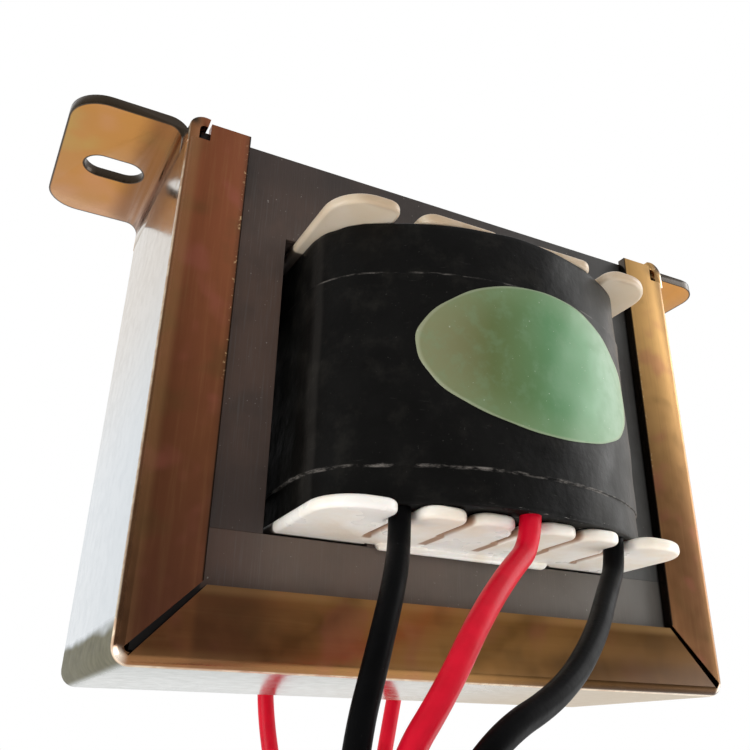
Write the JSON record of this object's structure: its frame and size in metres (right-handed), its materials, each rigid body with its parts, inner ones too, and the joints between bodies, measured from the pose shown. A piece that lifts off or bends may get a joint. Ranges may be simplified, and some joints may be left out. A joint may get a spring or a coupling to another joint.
{
  "type": "laminated chassis transformer",
  "caption": "Laminated-core power transformer in a folded steel channel frame with slotted mounting ears, a flanged bobbin and free leads.",
  "frame": {"origin": "middle of the line between the centres of the ears' slots, on the ears' mounting faces", "axes": "+X along the line of the two slots, +Y from the side with three leads to the side with two leads, +Z out of the mounting faces, away from the core"},
  "size_m": [0.093, 0.0615, 0.145],
  "materials": {
    "chromated_zinc": "satin zinc plate with an iridescent gold passivate",
    "core_steel": "dull oxide, fine punched edges",
    "bobbin_plastic": "ivory, softly glossy",
    "winding_wire": "enamelled copper",
    "insulating_film": "clear amber film",
    "black_tape": "satin black tape",
    "label_film": "glossy green sticker",
    "lead_black": "satin black PVC",
    "lead_red": "satin red PVC",
    "tinned_wire": "tinned strands"
  },
  "bodies": {
    "root": {"channel_frame": "chromated_zinc", "e_sheets_back_up": "core_steel", "i_sheets_bottom": "core_steel", "e_sheets_back_down": "core_steel", "i_sheets_top": "core_steel", "bobbin": "bobbin_plastic", "primary_winding": "winding_wire", "winding_barrier": "insulating_film", "secondary_winding": "winding_wire", "lead_bed": "insulating_film", "insulating_wrap": "black_tape", "outer_tape": "black_tape", "label": "label_film", "lead_front_left_black": "lead_black", "tinned_end_front_left_black": "tinned_wire", "wire_joint_front_left_black": "tinned_wire", "lead_front_centre_red": "lead_red", "tinned_end_front_centre_red": "tinned_wire", "wire_joint_front_centre_red": "tinned_wire", "lead_front_right_black": "lead_black", "tinned_end_front_right_black": "tinned_wire", "wire_joint_front_right_black": "tinned_wire", "lead_rear_left_red": "lead_red", "tinned_end_rear_left_red": "tinned_wire", "wire_joint_rear_left_red": "tinned_wire", "lead_rear_right_red": "lead_red", "tinned_end_rear_right_red": "tinned_wire", "wire_joint_rear_right_red": "tinned_wire"}
  },
  "joints": []
}
